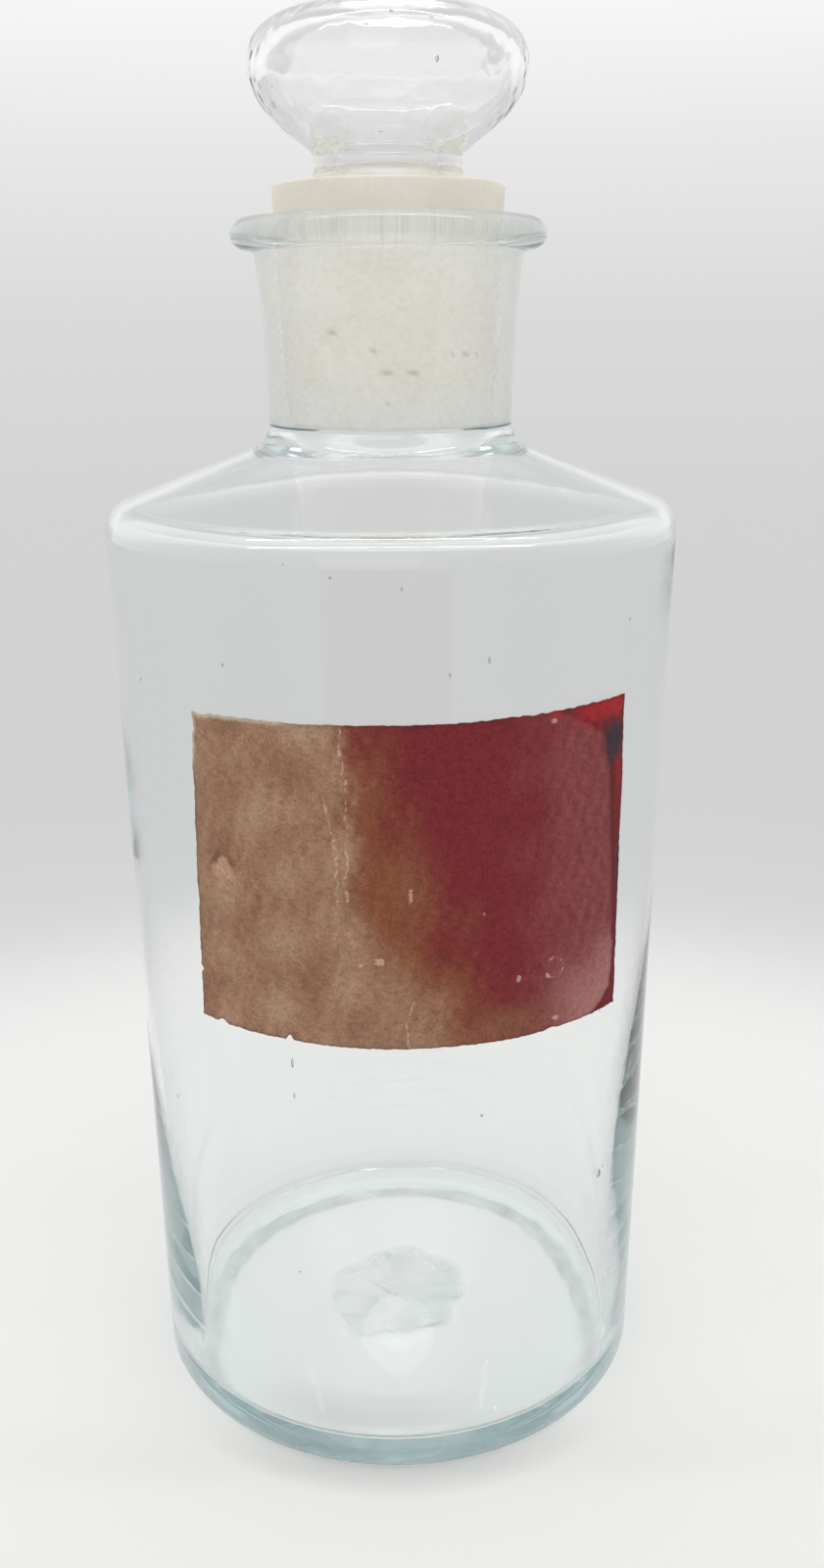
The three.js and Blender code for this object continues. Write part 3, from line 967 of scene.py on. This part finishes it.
def make_label():
    """The label: a sheet of paper on the tapered wall, at a radius a little over the glass.

    A point is (r cos t, r sin t, z), with t = turn + sideways / r and r = wall(z) + distance.
    """
    _, _, p, colours = sizes()
    work = Glasswork()
    a = np.linspace(0, 1, LABEL_COLUMNS)[None, :]
    b = np.linspace(0, 1, LABEL_ROWS)[:, None]
    wide, tall = p.width / MM, p.height / MM
    low = 0.5 * MM - 1.3 * MM * a + ragged(wide * a, 41, "lower")
    high = -0.7 * MM * (1 - a) - ragged(wide * a, 43, "upper")
    left = ragged(tall * b, 45, "left")
    right = -ragged(tall * b, 47, "right")
    height = p.bottom + low * (1 - b) + (p.height + high) * b
    sideways = (a - 0.5) * (p.width + p.spread * (0.5 - b)) + left * (1 - a) + right * a
    u, v = wide * a + 0 * b, tall * b + 0 * a
    cockle = 0.03 * MM * (1 + cloud(u, v, 14, 51))
    layers = []
    for distance in (p.paste + p.paper + cockle, p.paste):
        r = work.wall(height) + distance
        t = -math.pi / 2 + p.turn + sideways / r
        layers.append(np.stack([r * np.cos(t), r * np.sin(t), height], -1).reshape(-1, 3))
    whole = np.full(u.size, WHOLE)
    damage = zip(PAPER_MARKS, paper_damage(u, v))
    marks = {mark: np.append(distance, whole) for mark, distance in damage}
    paper = aged_paper("pulp_paper", colours)
    faces = sheet_faces(LABEL_COLUMNS, LABEL_ROWS)
    piece = surface_mesh("paper_label", np.vstack(layers), faces, paper, marks)
    mesh = piece.data
    uv = mesh.uv_layers.new(name="label")
    flat = np.stack([a + 0 * b, b * tall / wide + 0 * a], -1).reshape(-1, 2)
    flat = np.vstack([flat, flat])
    corner = np.zeros(len(mesh.loops), np.int32)
    mesh.loops.foreach_get("vertex_index", corner)
    uv.data.foreach_set("uv", flat[corner].astype(np.float32).ravel())
    # The paper is darker along its edges, and its fibre shows at the upper left corner
    margin = np.minimum(np.minimum(u, wide - u), np.minimum(v, tall - v))
    fringe = smooth(21, 15, u) * smooth(0.8, 0.3, tall - v) + smooth(44, 48, v) * smooth(0.7, 0.2, u)
    tone = paper_tone(u, v, colours) * (1 - 0.3 * smooth(0.55, 0.15, margin))[..., None]
    tone = blend(tone, linear(FRINGE)[:3], np.clip(fringe, 0, 1) * 0.8)
    blotches = 0.06 * cloud(u, v, 9, 61) + 0.04 * cloud(u, v, 2, 63)
    plain = np.asarray(colours.back) * (1 + blotches)[..., None]
    tone, plain = (np.dstack([face, np.ones(u.shape)]).reshape(-1, 4) for face in (tone, plain))
    layer = mesh.attributes.new("tone", "FLOAT_COLOR", "POINT")
    layer.data.foreach_set("color", np.vstack([tone, plain]).astype(np.float32).ravel())
    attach(piece, "bottle")
    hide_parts("label")
    return piece


# Stage

CAMERA_PLACE = (0, -0.25985, 0.19925)  # in metres
CAMERA_YAW, CAMERA_PITCH, CAMERA_ROLL = 0.75, 17.86, 0.31  # in degrees
FOCAL_LENGTH, LONG_SIDE = 1478, 1600  # in pixels of the photograph's frame
SENSOR = 36  # mm along the long side
LIGHT = 0.88  # what the studio sends to matt surfaces from all sides; 1 is white
# What camera and glass see behind the object: rise above level in degrees, sRGB level
LOW_BACKDROP = ((-90, 238), (-28, 238), (-21.7, 214), (-17.9, 210), (-7, 211))
HIGH_BACKDROP = ((0, 218), (6, 232), (11, 248), (12, 228), (14.5, 212), (50, 206), (90, 235))
# What they see beside it, below and above level: bearing from straight behind, sRGB level
LOW_SIDES = ((180, 195), (120, 195), (90, 203), (64, 206), (50, 208), (0, 210))
HIGH_SIDES = ((180, 200), (120, 204), (90, 232), (60, 250), (40, 252), (25, 250), (0, 240))
PANEL_LEVEL = 240  # of the narrow panel high behind the knob
# Lamps: name, shape, place and target, width and depth in metres, power in watts
LAMPS = (
    ("top_lamp", "RECTANGLE", (0, -0.05, 0.75), (0, 0, 0.1), 0.9, 0.03, 0.95),
    ("front_lamp", "RECTANGLE", (-0.15, -0.95, 0.55), (0, 0, 0.15), 0.7, 0.5, 0.6),
    ("back_lamp", "ELLIPSE", (0.002, 0.56, 0.585), (0, 0, 0), 0.115, 0.185, 0.06),
)
BOUNCES = 40  # the light passes many faces of glass before it comes out
# The sheet, in metres: where it starts to fade into the backdrop, where it is gone, its edge
SHEET_FADE, SHEET_GONE, SHEET_EDGE = 0.11, 0.24, 0.26
# The contact shadow painted into the sheet in front of the foot: distance from the axis in metres, share
# of the sheet's colour left
PAINTED_FOOT_SHADOW = ((0.0455, 1), (0.0475, 0.7), (0.053, 1))
PAINTED_SHADOW_START, PAINTED_SHADOW_FULL = -0.034, -0.047  # metres along Y where it sets in and is at its full


def make_camera():
    """A camera at the photograph's place: 0.26 m in front, 0.2 m up, looking 18 degrees down."""
    data = bpy.data.cameras.new("camera")
    data.sensor_width = SENSOR
    data.lens = FOCAL_LENGTH / LONG_SIDE * SENSOR
    data.clip_start = 0.01
    camera = bpy.data.objects.new("camera", data)
    bpy.context.collection.objects.link(camera)
    yaw, pitch, roll = map(math.radians, (CAMERA_YAW, CAMERA_PITCH, CAMERA_ROLL))
    turn = Matrix.Rotation(-yaw, 4, "Z") @ Matrix.Rotation(math.pi / 2 - pitch, 4, "X")
    camera.matrix_world = Matrix.Translation(CAMERA_PLACE) @ turn @ Matrix.Rotation(-roll, 4, "Z")
    bpy.context.scene.camera = camera


def make_world():
    """A pale studio: a grey backdrop, bright panels above it and beside it, and dimmer in front.

    Directions go by their rise above level and by their bearing from straight behind the object.
    A ramp's place is (sine of the rise + 1) / 2, or (cosine of the bearing + 1) / 2.
    """
    world = bpy.data.worlds.new("studio")
    bpy.context.scene.world = world
    world.use_nodes = True
    world.node_tree.nodes.clear()
    node = partial(add_node, world.node_tree)
    ray = node("TexCoord").outputs["Generated"]
    up = node("SeparateXYZ", {"Vector": ray}).outputs["Z"]
    level_part = node("VectorMath", {0: ray, 1: (1, 1, 0)}, operation="MULTIPLY")
    heading = node("VectorMath", {0: level_part}, operation="NORMALIZE")
    bearing = node("SeparateXYZ", {"Vector": heading}).outputs["Y"]
    by_rise, by_bearing = [
        node("MapRange", {"Value": way, "From Min": -1.0, "From Max": 1.0}) for way in (up, bearing)
    ]
    ramps = []
    for place, wave, levels in (
        (by_bearing, math.cos, LOW_SIDES),
        (by_bearing, math.cos, HIGH_SIDES),
        (by_rise, math.sin, LOW_BACKDROP + HIGH_BACKDROP),
    ):
        stops = [((wave(math.radians(degrees)) + 1) / 2, grey(level)) for degrees, level in levels]
        ramps.append(node("ValToRGB", {"Fac": place}, stops=stops))
    # Soft steps where a part of the studio sets in: sines of the rise, cosines of the bearing
    above, behind, narrow, high = [
        node("MapRange", {"Value": way, "From Min": low, "From Max": top}, interpolation_type="SMOOTHSTEP")
        for way, low, top in (
            (up, -0.03, 0.06),
            (bearing, 0.84, 0.9),
            (bearing, 0.979, 0.991),
            (up, 0.187, 0.2),
        )
    ]
    panel = node("Math", {0: narrow, 1: high}, operation="MULTIPLY")
    tone = ramps[0]
    for share, part in ((above, ramps[1]), (behind, ramps[2]), (panel, grey(PANEL_LEVEL))):
        tone = node("Mix", {FACTOR: share, FIRST: tone, SECOND: part}, data_type="RGBA")
    path = node("LightPath").outputs
    straight = node("Math", {0: path["Is Camera Ray"], 1: path["Is Glossy Ray"]}, operation="ADD")
    seen = node("Math", {0: straight, 1: path["Is Transmission Ray"]}, operation="ADD", use_clamp=True)
    level = node("Mix", {FACTOR: seen, FIRST: (LIGHT, LIGHT, LIGHT, 1), SECOND: tone}, data_type="RGBA")
    node("OutputWorld", {"Surface": node("Background", {"Color": level})})


def make_lamp(name, shape, place, target, width, depth, power):
    """A soft lamp at a place, turned to a target."""
    data = bpy.data.lights.new(name, "AREA")
    data.shape = shape
    data.size = width
    data.size_y = depth
    data.energy = power
    lamp = bpy.data.objects.new(name, data)
    bpy.context.collection.objects.link(lamp)
    lamp.location = place
    lamp.rotation_euler = (Vector(place) - Vector(target)).to_track_quat("Z", "Y").to_euler()
    lamp.visible_camera = False


def white_sheet(name, colours):
    """Matt white paper under the bottle, which fades into the studio's backdrop further out.

    In front of the foot a shadow is painted into its colour, a little darker, where the thick glass would
    take part of the light.
    """
    material, node = new_material(name)
    place = node("TexCoord").outputs["Object"]
    away = node("VectorMath", {0: place}, operation="LENGTH")
    fade = node(
        "MapRange",
        {"Value": away, "From Min": SHEET_FADE, "From Max": SHEET_GONE},
        interpolation_type="SMOOTHSTEP",
    )
    # Painted contact shadow: a darker ring in the sheet's colour round the foot, on its front side only
    near = node("ValToRGB", {"Fac": away}, stops=[(r, (s, s, s, 1)) for r, s in PAINTED_FOOT_SHADOW])
    along = node("SeparateXYZ", {"Vector": place}).outputs["Y"]
    front = node("MapRange", {"Value": along, "From Min": PAINTED_SHADOW_START, "From Max": PAINTED_SHADOW_FULL})
    shaded = node(
        "Mix",
        {FACTOR: front, FIRST: (*colours.floor, 1), SECOND: near},
        data_type="RGBA",
        blend_type="MULTIPLY",
    )
    matt = node("BsdfDiffuse", {"Color": shaded, "Roughness": 0.3})
    sheet = node("MixShader", {0: fade, 1: matt, 2: node("BsdfTransparent")})
    node("OutputMaterial", {"Surface": sheet})
    return material


def make_floor():
    """A round floor just under height 0: flat rings of growing radius round its middle."""
    steps, rings = 96, 13
    radius = np.repeat(np.linspace(0, SHEET_EDGE, rings + 1)[:, None], steps, 1)
    t = np.arange(steps) * 2 * math.pi / steps
    ring = np.stack([radius * np.cos(t), radius * np.sin(t), 0 * radius - 0.02 * MM], -1)
    vertices = np.vstack([ring[:1, 0], ring[1:].reshape(-1, 3)])
    j = np.arange(steps)
    k = (j + 1) % steps
    i = np.arange(rings - 1)[:, None] * steps + 1
    quads = np.stack([i + j, i + steps + j, i + steps + k, i + k], -1).reshape(-1, 4)
    middle = np.stack([0 * j, 1 + j, 1 + k, 1 + k], -1)
    sheet = white_sheet("white_paper_painted_shadow", bpy.context.scene.bottle_colours)
    floor = surface_mesh("floor", vertices, np.vstack([middle, quads]), sheet, {})
    return floor


def make_stage():
    """Floor, studio light and camera."""
    make_camera()
    make_world()
    make_floor()
    for lamp in LAMPS:
        make_lamp(*lamp)
    paths = bpy.context.scene.cycles
    paths.max_bounces = BOUNCES
    paths.glossy_bounces = BOUNCES
    paths.transmission_bounces = BOUNCES
    bpy.context.scene.view_settings.view_transform = "Standard"


# Operators and panel


class BOTTLE_OT_bottle(bpy.types.Operator):
    """Make the blown bottle"""

    bl_idname = "bottle.make_bottle"
    bl_label = "Bottle"

    def execute(self, context):
        make_bottle()
        return {"FINISHED"}


class BOTTLE_OT_stopper(bpy.types.Operator):
    """Make the ground stopper"""

    bl_idname = "bottle.make_stopper"
    bl_label = "Stopper"

    def execute(self, context):
        make_stopper()
        return {"FINISHED"}


class BOTTLE_OT_label(bpy.types.Operator):
    """Make the aged paper label"""

    bl_idname = "bottle.make_label"
    bl_label = "Label"

    def execute(self, context):
        make_label()
        return {"FINISHED"}


class BOTTLE_OT_stage(bpy.types.Operator):
    """Make the floor, the light and the camera"""

    bl_idname = "bottle.make_stage"
    bl_label = "Stage"

    def execute(self, context):
        make_stage()
        return {"FINISHED"}


class BOTTLE_PT_panel(bpy.types.Panel):
    """Lists the operators and the sizes"""

    bl_label = "Apothecary Bottle"
    bl_space_type = "VIEW_3D"
    bl_region_type = "UI"
    bl_category = "Bottle"

    def draw(self, context):
        for operator in OPERATORS:
            self.layout.operator(operator.bl_idname)
        for key in GROUPS:
            group = getattr(context.scene, key)
            box = self.layout.box()
            for name in group.__annotations__:
                box.prop(group, name)


OPERATORS = (BOTTLE_OT_stage, BOTTLE_OT_bottle, BOTTLE_OT_stopper, BOTTLE_OT_label)
GROUPS = {
    "bottle_sizes": BottleSizes,
    "stopper_sizes": StopperSizes,
    "label_sizes": LabelSizes,
    "bottle_colours": BottleColours,
}


def register():
    """Registers the sizes, the operators and the panel, and hangs the sizes on the scene."""
    for group in GROUPS.values():
        bpy.utils.register_class(group)
    for item in (*OPERATORS, BOTTLE_PT_panel):
        bpy.utils.register_class(item)
    for key, group in GROUPS.items():
        setattr(bpy.types.Scene, key, bpy.props.PointerProperty(type=group))


def unregister():
    """Takes everything away again."""
    for key in GROUPS:
        delattr(bpy.types.Scene, key)
    for item in (BOTTLE_PT_panel, *OPERATORS, *GROUPS.values()):
        bpy.utils.unregister_class(item)


def main():
    """Makes the stage and the pieces."""
    register()
    bpy.ops.bottle.make_stage()
    bpy.ops.bottle.make_bottle()
    bpy.ops.bottle.make_stopper()
    bpy.ops.bottle.make_label()


if __name__ == "__main__":
    main()
